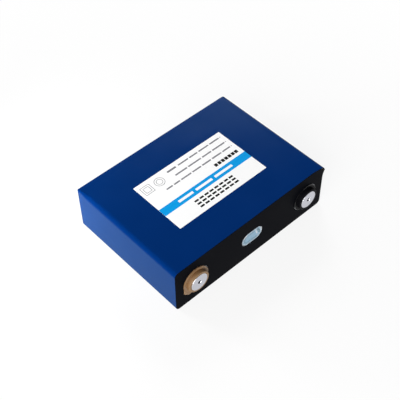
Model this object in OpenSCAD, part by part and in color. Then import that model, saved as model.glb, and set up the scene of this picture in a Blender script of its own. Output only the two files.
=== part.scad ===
// Prismatic lithium iron phosphate battery cell: a film-wrapped aluminium can that lies on a
// broad face with its label up. Sizes are in millimetres. Every piece is drawn with the cell
// standing on its foot and its terminals up; lay_down() then turns it on to its broad face,
// with the terminals towards -Y and the middle of the resting face at the origin.

/* [Cell] */
// Width over the wrapping film
cell_w = 173; // [150:1:200]
// Thickness over the wrapping film
cell_t = 48; // [44:1:60]
// Height from the foot to the terminal face
cell_h = 125; // [105:1:200]
// Outside radius of the four long edges
edge_r = 4; // [3:0.5:6]
// Outside radius of the edges round the foot
foot_r = 1.5; // [1.3:0.1:2.5]

/* [Wrapping film] */
// Thickness of the film
film_t = 0.15; // [0.1:0.01:0.25]
// Width of the glued overlap along one narrow side
seam_w = 12; // [8:1:20]
// How far the two long flaps lap at the foot
flap_lap = 6; // [4:1:12]

/* [Label] */
// Length of the label along the cell's width
label_w = 100; // [60:1:120]
// Height of the label along the cell's height
label_h = 60; // [40:1:80]
// Thickness of the label
label_t = 0.1; // [0.05:0.01:0.2]
// Sideways offset of the label from the middle of the broad face
label_x = -1.5; // [-5:0.5:5]

/* [Cover sheet] */
// Thickness of the insulating sheet on the lid
sheet_t = 0.4; // [0.3:0.05:0.8]
// Distance from the film's outside to the edge of the sheet
sheet_inset = 0.1; // [0.05:0.05:0.6]
// Clearance round what comes through the sheet's windows
window_gap = 0.3; // [0.2:0.05:0.6]

/* [Can and lid] */
// Wall of the can
can_wall = 0.8; // [0.6:0.05:1]
// Floor of the can
can_floor = 1.2; // [0.8:0.1:2]
// Thickness of the lid
lid_t = 2.5; // [2.2:0.1:3.5]
// Gap that the edge welds close, all round the lid, vent disc and filling cap
weld_gap = 0.05; // [0.02:0.01:0.1]

/* [Vent] */
// Length of the vent disc
vent_l = 22.6; // [18:0.1:28]
// Width of the vent disc
vent_w = 12.6; // [11:0.1:16]
// Width of the vent disc's rim
vent_rim = 1.8; // [1.2:0.1:2.4]
// Thickness of the vent disc's rim
vent_rim_t = 1.2; // [0.8:0.1:1.6]
// Thickness of the bursting foil inside the rim
vent_foil_t = 0.3; // [0.2:0.05:0.4]
// Width of the score line in the foil
score_w = 0.6; // [0.4:0.1:1]
// Depth of the score line in the foil
score_depth = 0.12; // [0.05:0.01:0.15]
// Ledge of the lid under the vent disc
vent_ledge = 1.2; // [0.8:0.1:1.8]
// Thickness of the clear film over the vent
vent_film_t = 0.1; // [0.05:0.01:0.2]
// How far the clear film laps past the vent disc
vent_film_lap = 0.5; // [0.3:0.1:1]

/* [Filling port] */
// Distance of the filling port from the middle of the lid
fill_x = 32; // [26:1:36]
// Bore of the filling port
fill_d = 3.6; // [2.4:0.1:4.5]
// Diameter of the welded cap
fill_cap_d = 9; // [7:0.5:12]
// Thickness of the welded cap
fill_cap_t = 0.9; // [0.6:0.1:1.2]
// Length of the rubber plug's tip below the lid
plug_tip = 1.2; // [0.5:0.1:2]

/* [Terminals] */
// Distance from each narrow side to the terminal's axis
terminal_inset = 21.9; // [20:0.1:30]
// Diameter of the terminal disc
disc_d = 17; // [14:0.5:19]
// Thickness of the terminal disc
disc_t = 3; // [2.6:0.1:3.5]
// Height of the terminal disc above the terminal face
disc_rise = 4.6; // [4:0.1:6]
// Chamfer on the terminal disc's edge
disc_chamfer = 0.3; // [0.1:0.1:0.5]
// Diameter of the locating hole in the terminal disc
locating_d = 3.5; // [2.5:0.1:5]
// Depth of the locating hole
locating_depth = 1.2; // [0.8:0.1:1.4]
// Diameter of the post's shank
post_d = 9; // [8:0.1:10]
// Diameter of the post's neck in the terminal disc
neck_d = 7; // [6:0.1:7.8]
// Length of the post's neck
neck_h = 0.9; // [0.6:0.1:1]
// Diameter of the post's foot under the lid
post_foot_d = 17; // [16:0.1:19]
// Thickness of the post's foot
post_foot_t = 2; // [1.5:0.1:2.5]
// Clearance between the terminal's own pieces
fit_gap = 0.05; // [0.02:0.01:0.1]

/* [Outer insulators] */
// Diameter of the insulator's flange
flange_d = 26.6; // [25:0.1:29]
// Height of the flange above the terminal face
flange_rise = 0.8; // [0.6:0.1:1.6]
// Diameter of the raised ring round the disc, at its root
boss_d = 21.8; // [21:0.1:24]
// Draft of the raised ring, per side
boss_draft = 0.3; // [0:0.05:0.5]
// How far the ring stays below the disc's top
rim_drop = 0.3; // [0.1:0.1:0.6]
// Rounding of the flange and the ring
rim_r = 0.5; // [0.2:0.05:0.7]
// Direction of the negative insulator's key corner, which stops it turning, in degrees
key_angle = -132; // [-180:1:180]
// Width of the key corner's blunt end
key_w = 6.4; // [3:0.1:9]
// Reach of the key corner from the terminal's axis
key_reach = 15.8; // [15:0.1:17]
// How far the key corner's top stays below the flange's
key_drop = 0.2; // [0.1:0.1:0.4]
// How deep the key corner's sides cut into the flange's round
key_bite = 0.3; // [0.1:0.05:0.5]
// Depth of the pocket in the lid that the insulator sits in
seat_depth = 0.6; // [0.3:0.1:0.9]

/* [Seals and inner insulators] */
// Wall of the rubber sleeve round the post
seal_wall = 1.9; // [1.2:0.1:2.4]
// Thickness of the rubber collar under the lid
seal_t = 1; // [0.8:0.1:1.5]
// Width of the rubber collar outside the sleeve
seal_collar = 1.3; // [0.8:0.1:1.6]
// Gap between the two inner insulators
inner_mid_gap = 1; // [0.5:0.1:3]
// Gap from the inner insulators to the can's wall
inner_wall_gap = 0.8; // [0.5:0.1:1.5]
// Corner radius of the inner insulators
inner_r = 2.2; // [1.8:0.1:3]
// Wall of the skirt round each inner insulator
skirt_t = 1.2; // [0.8:0.1:1.6]
// Depth of the skirt below the insulator
skirt_h = 3; // [2:0.1:4]
// Width of the gas slots under the vent
gas_slot_w = 2; // [1.5:0.1:2.5]
// Length of the gas slots
gas_slot_l = 13; // [9:0.5:20]
// Spacing of the gas slots
gas_slot_pitch = 3.8; // [3.4:0.1:5]
// Number of gas slots in each inner insulator
gas_slots = 3; // [2:1:3]

/* [Current collectors and foil tabs] */
// Length of a collector
collector_l = 56; // [48:1:60]
// Width of a collector
collector_w = 30; // [26:0.5:34]
// Thickness of a collector
collector_t = 1.5; // [1:0.1:2]
// Distance from the terminal's axis to the collector's outer end
collector_head = 12; // [10:0.5:13]
// Corner radius of a collector
collector_r = 3; // [1:0.5:5]
// Diameter of the weld dimple under the post
weld_d = 7; // [5:0.5:9]
// Depth of the weld dimple
weld_depth = 0.5; // [0.2:0.1:0.8]
// Length of the fuse slot across the positive collector
fuse_l = 20; // [12:0.5:22]
// Width of the fuse slot
fuse_w = 3; // [2:0.1:4]
// Distance from the terminal's axis to the fuse slot
fuse_x = 13; // [11:0.5:16]
// Width of a foil tab stack
tab_w = 26; // [18:0.5:27]
// Thickness of a foil tab stack
tab_t = 0.8; // [0.5:0.1:1.2]
// Outside radius of the fold in a foil tab stack
tab_fold_r = 2; // [1.5:0.1:3]
// Height of the fold space between the wound cores and the collectors
tab_rise = 7; // [6:0.5:10]
// Distance of a foil tab stack's end from the cell's middle plane
tab_mid_gap = 1.5; // [0.5:0.1:3]

/* [Wound cores] */
// Clearance between the bag and the can
bag_gap = 0.2; // [0.1:0.05:0.4]
// Thickness of the bag's film
bag_t = 0.15; // [0.1:0.01:0.25]
// Clearance between the wound cores and the bag
core_gap = 0.3; // [0.2:0.05:0.5]
// Gap between the two wound cores
core_split = 0.2; // [0.1:0.05:0.5]
// Thickness of the slot left by the winding mandrel
mandrel_t = 1; // [0.5:0.1:2]
// Number of turns shown at the ends of a core
core_turns = 5; // [3:1:8]
// Thickness of a separator edge
separator_t = 0.6; // [0.3:0.05:0.8]
// How far the separator stands out past the electrodes
separator_edge = 1.5; // [0.8:0.1:2.5]
// Width of a binding tape
tape_w = 20; // [10:1:30]
// Thickness of a binding tape
tape_t = 0.1; // [0.05:0.01:0.15]
// Distance of the binding tapes from the ends of the cores
tape_inset = 16; // [8:1:20]
// How far the bag's mouth stands above the cores
bag_mouth = 2; // [0:0.5:3]
// Thickness of the tray on the can's floor
tray_t = 0.8; // [0.5:0.1:1.5]
// Gap from the tray to the can's wall
tray_gap = 0.8; // [0.6:0.1:1.5]
// Diameter of the wetting holes in the tray
tray_hole_d = 6; // [3:0.5:8]
// Number of wetting holes along the tray
tray_holes = 11; // [5:1:13]
// Distance of the wetting holes from the tray's middle line
tray_hole_y = 11; // [8:0.5:13]

/* [Hidden] */
$fn = 64;
// Reach of a cutting shape past the face that it opens
through = 1;

pole_x = cell_w / 2 - terminal_inset;

can_w = cell_w - 2 * film_t;
can_t = cell_t - 2 * film_t;
can_edge_r = edge_r - film_t;
can_foot_r = foot_r - film_t;
inside_w = can_w - 2 * can_wall;
inside_t = can_t - 2 * can_wall;
inside_edge_r = can_edge_r - can_wall;
inside_foot_r = can_foot_r - can_wall;

// Levels above the foot
film_z = 2 * film_t;
can_z = film_z + film_t;
floor_z = can_z + can_floor;
lid_top_z = cell_h - sheet_t;
lid_low_z = lid_top_z - lid_t;
seat_z = lid_top_z - seat_depth;
disc_top_z = cell_h + disc_rise;
disc_low_z = disc_top_z - disc_t;
flange_top_z = cell_h + flange_rise;
rim_z = disc_top_z - rim_drop;
collar_z = lid_low_z - seal_t;
inner_z = collar_z - post_foot_t;
collector_z = inner_z - collector_t;
tab_z = collector_z - tab_t;
core_top_z = collector_z - tab_rise;
bag_z = floor_z + tray_t;
core_z = bag_z + bag_t;

// Sides of the key corner: their distance from the axis, and the direction that they face from its middle line
key_side = flange_d / 2 - key_bite;
key_turn = atan(key_w / 2 / key_reach) + acos(key_side / norm([key_reach, key_w / 2]));

seal_d = post_d + 2 * fit_gap + 2 * seal_wall;
lid_hole_d = seal_d + 2 * fit_gap;
collar_d = seal_d + 2 * seal_collar;
vent_film_l = vent_l + 2 * vent_film_lap;
vent_film_w = vent_w + 2 * vent_film_lap;
inner_len = inside_w / 2 - inner_wall_gap - inner_mid_gap / 2;
inner_wide = inside_t - 2 * inner_wall_gap;
inner_x = inner_mid_gap / 2 + inner_len / 2;
gas_slot_x = inner_mid_gap / 2 + skirt_t + gas_slot_w;
collector_x = pole_x + collector_head - collector_l / 2;
tab_x = pole_x + collector_head - collector_l + tab_w / 2 + collector_r;

bag_w = inside_w - 2 * bag_gap;
bag_wide = inside_t - 2 * bag_gap;
bag_r = inside_edge_r - bag_gap;
core_w = bag_w - 2 * bag_t - 2 * core_gap;
core_wide = bag_wide - 2 * bag_t - 2 * core_gap;
roll_t = (core_wide - core_split) / 2;
roll_y = (roll_t + core_split) / 2;
core_h = core_top_z - core_z;
turn_step = (roll_t - mandrel_t) / 2 / core_turns;

film_blue = "#123f8c";
label_white = "#eef0f2";
sheet_black = "#1a1b1f";
bare_aluminium = "#c9ccd2";
dull_aluminium = "#a9adb4";
copper = "#b87347";
positive_black = "#16171a";
negative_tan = "#94765a";
clear_blue = "#b4cede";
rubber_black = "#26272b";
inner_white = "#d9dcdf";
core_grey = "#3c4046";
bag_green = "#6fa58f";
tape_blue = "#3f6fb0";

// Shared shapes

module lay_down() {
    translate([0, cell_h / 2, cell_t / 2]) rotate([90, 0, 0]) children();
}

module rounded_rect(w, t, r) {
    square([w - 2 * r, t], center = true);
    square([w, t - 2 * r], center = true);
    for (sx = [-1, 1], sy = [-1, 1])
        translate([sx * (w / 2 - r), sy * (t / 2 - r)]) circle(r);
}

module obround(l, w) {
    square([l - w, w], center = true);
    for (s = [-1, 1])
        translate([s * (l - w) / 2, 0]) circle(d = w);
}

// Upright section of a tub: width w, height h, with the two lower corners rounded
module round_foot_section(w, h, r) {
    translate([-w / 2, r]) square([w, h - r]);
    translate([r - w / 2, 0]) square([w - 2 * r, r]);
    for (s = [-1, 1])
        translate([s * (w / 2 - r), r]) circle(r);
}

// Block with rounded long edges and rounded edges round its foot
module tub(w, t, h, long_r, low_r) {
    intersection() {
        linear_extrude(h) rounded_rect(w, t, long_r);
        rotate([90, 0, 0]) linear_extrude(t + 2 * through, center = true)
            round_foot_section(w, h, low_r);
        rotate([90, 0, 90]) linear_extrude(w + 2 * through, center = true)
            round_foot_section(t, h, low_r);
    }
}

// Half section of a round step: radius r, height h, with its top edge rounded
module round_step_section(r, h, top_r) {
    square([r, h - top_r]);
    square([r - top_r, h]);
    translate([r - top_r, h - top_r]) circle(top_r);
}

// Place on a terminal's axis: what stands on the positive side is a mirror image of the negative side
module at_pole(side) {
    translate([side * pole_x, 0, 0]) mirror([side > 0 ? 1 : 0, 0, 0]) children();
}

// Key corner of an outer insulator, grown by extra all round, with sides that run out in the flange
module key_outline(extra) {
    root = (key_side + extra) * [cos(key_turn), sin(key_turn)];
    tip = [key_reach + extra, key_w / 2 + extra * tan(key_turn / 2)];
    rotate(key_angle)
        polygon([[0, 0], root, tip, [tip.x, -tip.y], [root.x, -root.y]]);
}

module insulator_outline(extra) {
    circle(d = flange_d + 2 * extra);
    key_outline(extra);
}

// Wrapping, label and cover sheet

// Long flap folded over the foot: a trapezium from the fold past the middle line
module long_flap() {
    fold_y = cell_t / 2 - foot_r;
    depth = fold_y + flap_lap / 2;
    fold_x = cell_w / 2 - edge_r;
    polygon([[-fold_x, fold_y], [fold_x, fold_y], [fold_x - depth, fold_y - depth],
        [depth - fold_x, fold_y - depth]]);
}

module wrapping_film() {
    sleeve_h = lid_top_z - film_z;
    color(film_blue) lay_down() {
        difference() {
            translate([0, 0, film_z]) tub(cell_w, cell_t, sleeve_h, edge_r, foot_r);
            translate([0, 0, can_z]) tub(can_w, can_t, sleeve_h, can_edge_r, can_foot_r);
        }
        linear_extrude(film_z) long_flap();
        translate([0, 0, film_t]) linear_extrude(film_t) mirror([0, 1]) long_flap();
        translate([cell_w / 2, -seam_w / 2, film_z + foot_r])
            cube([film_t, seam_w, sleeve_h - foot_r]);
    }
}

module rating_label() {
    color(label_white) lay_down()
        translate([label_x - label_w / 2, cell_t / 2, (cell_h - label_h) / 2])
            cube([label_w, label_t, label_h]);
}

module cover_sheet() {
    color(sheet_black) lay_down()
        translate([0, 0, lid_top_z]) linear_extrude(sheet_t) difference() {
            rounded_rect(cell_w - 2 * sheet_inset, cell_t - 2 * sheet_inset, edge_r - sheet_inset);
            for (side = [-1, 1])
                at_pole(side) insulator_outline(window_gap);
            obround(vent_film_l + 2 * window_gap, vent_film_w + 2 * window_gap);
        }
}

// Can and lid

module can() {
    can_h = lid_top_z - can_z;
    color(dull_aluminium) lay_down() difference() {
        translate([0, 0, can_z]) tub(can_w, can_t, can_h, can_edge_r, can_foot_r);
        translate([0, 0, floor_z]) tub(inside_w, inside_t, can_h, inside_edge_r, inside_foot_r);
    }
}

module lid() {
    color(dull_aluminium) lay_down() difference() {
        translate([0, 0, lid_low_z]) linear_extrude(lid_t)
            rounded_rect(inside_w - 2 * weld_gap, inside_t - 2 * weld_gap, inside_edge_r - weld_gap);
        for (side = [-1, 1]) at_pole(side) {
            translate([0, 0, lid_low_z - through]) cylinder(d = lid_hole_d, h = lid_t + 2 * through);
            translate([0, 0, seat_z]) linear_extrude(seat_depth + through) insulator_outline(fit_gap);
        }
        translate([0, 0, lid_low_z - through]) linear_extrude(lid_t + 2 * through)
            obround(vent_l - 2 * vent_ledge, vent_w - 2 * vent_ledge);
        translate([0, 0, lid_top_z - vent_rim_t]) linear_extrude(vent_rim_t + through)
            obround(vent_l + 2 * weld_gap, vent_w + 2 * weld_gap);
        translate([fill_x, 0, lid_low_z - through]) cylinder(d = fill_d, h = lid_t + 2 * through);
        translate([fill_x, 0, lid_top_z - fill_cap_t])
            cylinder(d = fill_cap_d + 2 * weld_gap, h = fill_cap_t + through);
    }
}

module vent_disc() {
    foil_l = vent_l - 2 * vent_rim;
    foil_w = vent_w - 2 * vent_rim;
    score_inset = 2 * score_w;
    color(bare_aluminium) lay_down() translate([0, 0, lid_top_z - vent_rim_t]) difference() {
        linear_extrude(vent_rim_t) obround(vent_l, vent_w);
        translate([0, 0, vent_foil_t]) linear_extrude(vent_rim_t) obround(foil_l, foil_w);
        translate([0, 0, vent_foil_t - score_depth]) linear_extrude(vent_rim_t) difference() {
            obround(foil_l - score_inset, foil_w - score_inset);
            obround(foil_l - score_inset - 2 * score_w, foil_w - score_inset - 2 * score_w);
        }
    }
}

module vent_film() {
    color(clear_blue) lay_down()
        translate([0, 0, lid_top_z]) linear_extrude(vent_film_t) obround(vent_film_l, vent_film_w);
}

module fill_plug() {
    plug_d = fill_d - 2 * fit_gap;
    stem_z = lid_low_z;
    color(rubber_black) lay_down() translate([fill_x, 0, 0]) {
        translate([0, 0, stem_z]) cylinder(d = plug_d, h = lid_top_z - fill_cap_t - stem_z);
        translate([0, 0, stem_z - plug_tip]) cylinder(d1 = plug_d / 2, d2 = plug_d, h = plug_tip);
    }
}

module fill_cap() {
    color(bare_aluminium) lay_down()
        translate([fill_x, 0, lid_top_z - fill_cap_t]) cylinder(d = fill_cap_d, h = fill_cap_t);
}

// Terminals

// Disc with a chamfered edge, a locating hole on top and a socket for the post's neck below
module terminal_disc(side) {
    r = disc_d / 2;
    socket_h = neck_h + fit_gap;
    color(bare_aluminium) lay_down() at_pole(side) translate([0, 0, disc_low_z]) difference() {
        rotate_extrude()
            polygon([[0, 0], [r, 0], [r, disc_t - disc_chamfer], [r - disc_chamfer, disc_t], [0, disc_t]]);
        translate([0, 0, disc_t - locating_depth]) cylinder(d = locating_d, h = locating_depth + through);
        translate([0, 0, -through]) cylinder(d = neck_d + 2 * fit_gap, h = socket_h + through);
    }
}

module terminal_post(side, metal) {
    color(metal) lay_down() at_pole(side) {
        translate([0, 0, inner_z]) cylinder(d = post_foot_d, h = post_foot_t);
        translate([0, 0, collar_z]) cylinder(d = post_d, h = disc_low_z - collar_z);
        translate([0, 0, disc_low_z]) cylinder(d = neck_d, h = neck_h);
    }
}

// Rubber sleeve through the lid, with a collar that the post's foot squeezes under the lid
module terminal_seal(side) {
    color(rubber_black) lay_down() at_pole(side) difference() {
        union() {
            translate([0, 0, collar_z]) cylinder(d = collar_d, h = seal_t);
            translate([0, 0, lid_low_z]) cylinder(d = seal_d, h = seat_z - lid_low_z);
        }
        translate([0, 0, collar_z - through])
            cylinder(d = post_d + 2 * fit_gap, h = seat_z - collar_z + 2 * through);
    }
}

// Moulded insulator: a keyed flange in the lid's pocket and a raised ring that cups the disc
module outer_insulator(side, plastic) {
    flange_h = flange_top_z - seat_z;
    ring_h = rim_z - flange_top_z;
    color(plastic) lay_down() at_pole(side) difference() {
        union() {
            translate([0, 0, seat_z]) rotate_extrude() round_step_section(flange_d / 2, flange_h, rim_r);
            translate([0, 0, seat_z]) linear_extrude(flange_h - key_drop) key_outline(0);
            translate([0, 0, flange_top_z])
                cylinder(d1 = boss_d, d2 = boss_d - 2 * boss_draft, h = ring_h);
        }
        translate([0, 0, disc_low_z]) cylinder(d = disc_d + 2 * fit_gap, h = disc_t);
        translate([0, 0, seat_z - through])
            cylinder(d = post_d + 2 * fit_gap, h = disc_low_z - seat_z + 2 * through);
    }
}

// Tray-shaped insulator under the lid, open for the post, the vent gas and the filling port
module inner_insulator(side) {
    low_z = inner_z - skirt_h;
    color(inner_white) lay_down() difference() {
        translate([side * inner_x, 0, low_z]) linear_extrude(lid_low_z - low_z)
            rounded_rect(inner_len, inner_wide, inner_r);
        translate([side * inner_x, 0, low_z - through]) linear_extrude(skirt_h + through)
            rounded_rect(inner_len - 2 * skirt_t, inner_wide - 2 * skirt_t, inner_r - skirt_t);
        at_pole(side) translate([0, 0, inner_z - through])
            cylinder(d = max(post_foot_d, collar_d) + 2 * fit_gap, h = lid_low_z - inner_z + 2 * through);
        for (i = [0 : gas_slots - 1])
            translate([side * (gas_slot_x + i * gas_slot_pitch), 0, inner_z - through])
                linear_extrude(lid_low_z - inner_z + 2 * through)
                    rotate(90) obround(gas_slot_l, gas_slot_w);
        if (side > 0)
            translate([fill_x, 0, inner_z - through])
                cylinder(d = fill_d + 2 * window_gap, h = lid_low_z - inner_z + 2 * through);
    }
}

// Strap from the post's foot to the foil tabs, with a weld dimple and, if fused, a narrow waist
module collector(side, metal, fused) {
    color(metal) lay_down() translate([0, 0, collector_z]) difference() {
        linear_extrude(collector_t) difference() {
            translate([side * collector_x, 0]) rounded_rect(collector_l, collector_w, collector_r);
            if (fused)
                translate([side * (pole_x - fuse_x), 0]) rotate(90) obround(fuse_l, fuse_w);
        }
        at_pole(side) translate([0, 0, -through]) cylinder(d = weld_d, h = weld_depth + through);
    }
}

// Folded foil stack, seen along the cell's width: up from a core, over and in under the collector
module tab_section() {
    leg_y = roll_y + tab_t / 2;
    fold_y = leg_y - tab_fold_r;
    fold_z = collector_z - tab_fold_r;
    translate([leg_y - tab_t, core_top_z]) square([tab_t, fold_z - core_top_z]);
    translate([tab_mid_gap, tab_z]) square([fold_y - tab_mid_gap, tab_t]);
    translate([fold_y, fold_z]) intersection() {
        difference() {
            circle(tab_fold_r);
            circle(tab_fold_r - tab_t);
        }
        square(tab_fold_r);
    }
}

module foil_tabs(side, metal) {
    color(metal) lay_down() for (s = [0, 1]) mirror([0, s, 0])
        translate([side * tab_x, 0, 0]) rotate([90, 0, 90])
            linear_extrude(tab_w, center = true) tab_section();
}

// Wound cores and what holds them

// Core wound round a flat mandrel: the separator's turns stand out past the electrodes
module wound_core(y_side) {
    color(core_grey) lay_down() translate([0, y_side * roll_y, core_z]) {
        translate([0, 0, separator_edge]) linear_extrude(core_h - 2 * separator_edge) difference() {
            obround(core_w, roll_t);
            obround(core_w - roll_t + mandrel_t, mandrel_t);
        }
        linear_extrude(core_h) for (turn = [0 : core_turns - 1]) difference() {
            inset = 2 * turn * turn_step;
            obround(core_w - inset, roll_t - inset);
            obround(core_w - inset - 2 * separator_t, roll_t - inset - 2 * separator_t);
        }
    }
}

module core_tapes() {
    color(tape_blue) lay_down()
        for (z = [core_z + tape_inset, core_top_z - tape_inset - tape_w])
            translate([0, 0, z]) linear_extrude(tape_w) difference() {
                rounded_rect(core_w + 2 * tape_t, core_wide + 2 * tape_t, roll_t / 2 + tape_t);
                rounded_rect(core_w, core_wide, roll_t / 2);
            }
}

module core_bag() {
    color(bag_green) lay_down() translate([0, 0, bag_z]) difference() {
        linear_extrude(core_top_z + bag_mouth - bag_z) rounded_rect(bag_w, bag_wide, bag_r);
        translate([0, 0, bag_t]) linear_extrude(cell_h)
            rounded_rect(bag_w - 2 * bag_t, bag_wide - 2 * bag_t, bag_r - bag_t);
    }
}

module core_tray() {
    tray_w = inside_w - 2 * tray_gap;
    tray_wide = inside_t - 2 * tray_gap;
    hole_pitch = tray_w / (tray_holes + 1);
    color(inner_white) lay_down() translate([0, 0, floor_z]) linear_extrude(tray_t) difference() {
        rounded_rect(tray_w, tray_wide, inside_edge_r);
        for (i = [1 : tray_holes], s = [-1, 1])
            translate([i * hole_pitch - tray_w / 2, s * tray_hole_y]) circle(d = tray_hole_d);
    }
}

wrapping_film();
rating_label();
cover_sheet();
can();
lid();
vent_disc();
vent_film();
fill_plug();
fill_cap();
terminal_disc(1);  // positive_disc
terminal_post(1, dull_aluminium);  // positive_post
terminal_seal(1);  // positive_seal
outer_insulator(1, positive_black);  // positive_outer_insulator
inner_insulator(1);  // positive_inner_insulator
collector(1, dull_aluminium, true);  // positive_collector
foil_tabs(1, bare_aluminium);  // positive_tabs
terminal_disc(-1);  // negative_disc
terminal_post(-1, copper);  // negative_post
terminal_seal(-1);  // negative_seal
outer_insulator(-1, negative_tan);  // negative_outer_insulator
inner_insulator(-1);  // negative_inner_insulator
collector(-1, copper, false);  // negative_collector
foil_tabs(-1, copper);  // negative_tabs
wound_core(1);  // label_side_core
wound_core(-1);  // base_side_core
core_tapes();
core_bag();
core_tray();
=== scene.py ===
"""Finish of a prismatic battery cell: film wrap, label, cover sheet, terminals, vent and studio.

The cell lies on a broad face with its label up and its terminals towards -Y. Every piece is made in
metres in the part's own frame, on top of the nodes that it dresses.
"""
import math

import bmesh
import bpy
from bpy.props import FloatProperty, FloatVectorProperty, IntProperty, PointerProperty
from bpy.types import Operator, Panel, PropertyGroup
from mathutils import Matrix, Quaternion, Vector, noise


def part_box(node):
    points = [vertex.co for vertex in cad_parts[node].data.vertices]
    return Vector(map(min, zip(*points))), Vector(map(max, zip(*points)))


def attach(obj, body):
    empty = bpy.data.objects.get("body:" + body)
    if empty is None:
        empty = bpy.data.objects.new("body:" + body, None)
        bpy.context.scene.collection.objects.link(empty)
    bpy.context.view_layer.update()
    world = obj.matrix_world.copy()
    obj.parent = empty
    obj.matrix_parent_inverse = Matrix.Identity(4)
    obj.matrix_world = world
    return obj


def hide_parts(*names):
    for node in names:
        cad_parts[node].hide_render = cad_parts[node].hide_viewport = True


bl_info = {
    "name": "Prismatic Cell Finish",
    "version": (1, 0, 0),
    "blender": (4, 5, 0),
    "location": "View3D > Sidebar > Cell",
    "description": "Dresses a prismatic battery cell in its film, label, terminals and studio",
    "category": "Object",
}

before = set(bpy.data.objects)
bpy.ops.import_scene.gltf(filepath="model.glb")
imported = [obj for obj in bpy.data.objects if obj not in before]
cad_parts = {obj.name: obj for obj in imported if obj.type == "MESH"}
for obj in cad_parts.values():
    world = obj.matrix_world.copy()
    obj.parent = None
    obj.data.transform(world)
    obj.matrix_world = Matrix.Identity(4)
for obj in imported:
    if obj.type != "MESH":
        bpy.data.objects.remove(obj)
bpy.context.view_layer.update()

MM = 0.001
BODY = "root"
SENSOR_MM = 36
SIDES = ("positive", "negative")

# Fineness of the meshes
ARC_STEPS = 10
ROUND_STEPS = 5
TURN_STEPS = 160
OVAL_STEPS = 24
FLAP_GRID = (72, 24)
SEAM_GRID = (60, 8)
# Width of the strip that keeps a face flat beside a rounded edge
HOLD = 0.4 * MM
MERGE_GAP = 0.0005 * MM
# Bends from which an edge is shaded sharp, on every piece and on the cover sheet
SHARP_ANGLE = math.radians(38)
SHEET_ANGLE = math.radians(10)

# Corner of the cover sheet at +X and +Z, where its glue has let go: its radius, how far in it bends, how
# far it lifts, and how far the mouth of the film that sticks to it follows
LOOSE_RADIUS = 4.4 * MM
LOOSE_REACH = 9 * MM
LOOSE_LIFT = 1.9 * MM
MOUTH_LIFT = 1.5 * MM

# Where the part's own nodes put the faces
film_low, film_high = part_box("wrapping_film")
can_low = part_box("can")[0]
sheet_low, sheet_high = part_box("cover_sheet")
label_low, label_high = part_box("rating_label")
FILM = can_low.z - film_low.z
MID_Z = (film_low.z + film_high.z) / 2
HALF_W = -film_low.x
HALF_T = MID_Z - film_low.z
FACE_Y = sheet_low.y
SHEET = sheet_high.y - sheet_low.y


def linear(hex_colour):
    """Turn an sRGB hex colour into linear red, green and blue."""
    channels = [int(hex_colour[i:i + 2], 16) / 255 for i in (1, 3, 5)]
    return tuple(c / 12.92 if c <= 0.04045 else ((c + 0.055) / 1.055) ** 2.4 for c in channels)


def per_mm(size):
    """Texture scale at which one feature is about this many millimetres across."""
    return 1 / (size * MM)


def per_wave(size):
    """Scale of a wave texture at which one of its waves is this many millimetres long."""
    radians_per_unit = 20
    return 2 * math.pi / (radians_per_unit * (size * MM))


def smooth_step(value):
    """Ease from 0 to 1 while value goes from 0 to 1."""
    value = min(max(value, 0.0), 1.0)
    return value * value * (3 - 2 * value)


# Settings

def length_setting(name, description, size, precision=2):
    """Setting for a length, with its default in millimetres."""
    return FloatProperty(
        name=name, description=description, unit="LENGTH", precision=precision, default=size * MM)


def colour_setting(name, description, hex_colour):
    """Setting for a colour, with its default as an sRGB hex value."""
    return FloatVectorProperty(
        name=name, description=description, subtype="COLOR", min=0, max=1, default=linear(hex_colour))


def power_setting(name, description, watts):
    """Setting for the power of a light."""
    return FloatProperty(name=name, description=description, unit="POWER", default=watts)


class CellWrapSettings(PropertyGroup):
    """Sizes and colour of the blue film round the can."""
    colour: colour_setting("Film colour", "Colour of the wrapping film", "#012967")
    edge_radius: length_setting("Long edge radius", "Outside radius of the four long edges", 4)
    foot_radius: length_setting("Foot radius", "Outside radius of the edges round the foot", 0.5)
    flap_lap: length_setting("Flap lap", "How far the two long flaps lap at the foot", 6)
    seam_width: length_setting("Seam width", "Width of the glued overlap along one narrow side", 12)
    fold_radius: length_setting(
        "Fold radius", "Radius of the upper corner at -X where the film is folded over the foot", 1)
    fold_length: length_setting("Fold length", "Length over which that corner sharpens towards the foot", 14)
    puff: length_setting("Puff", "How far a folded flap stands off between its glue lines", 0.3)


class CellLabelSettings(PropertyGroup):
    """Sizes and colours of the label and its plain print."""
    paper: colour_setting("Paper colour", "Colour of the label", "#fafafa")
    band: colour_setting("Band colour", "Colour of the printed band", "#0099e2")
    ink: colour_setting("Ink colour", "Colour of the heavy bars", "#141416")
    fine_ink: colour_setting("Fine ink colour", "Colour of the thin bars", "#808085")
    band_offset: length_setting("Band offset", "Distance of the band from the label's front edge", 18.1)
    band_width: length_setting("Band width", "Width of the printed band", 8.8)
    corner: length_setting("Corner radius", "Radius of the label's corners", 0.5)
    ink_height: length_setting("Ink height", "How far the print stands on the label", 0.02, precision=6)
    seed: IntProperty(name="Bar seed", description="Seed of the lengths of the printed bars", default=4)


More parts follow.
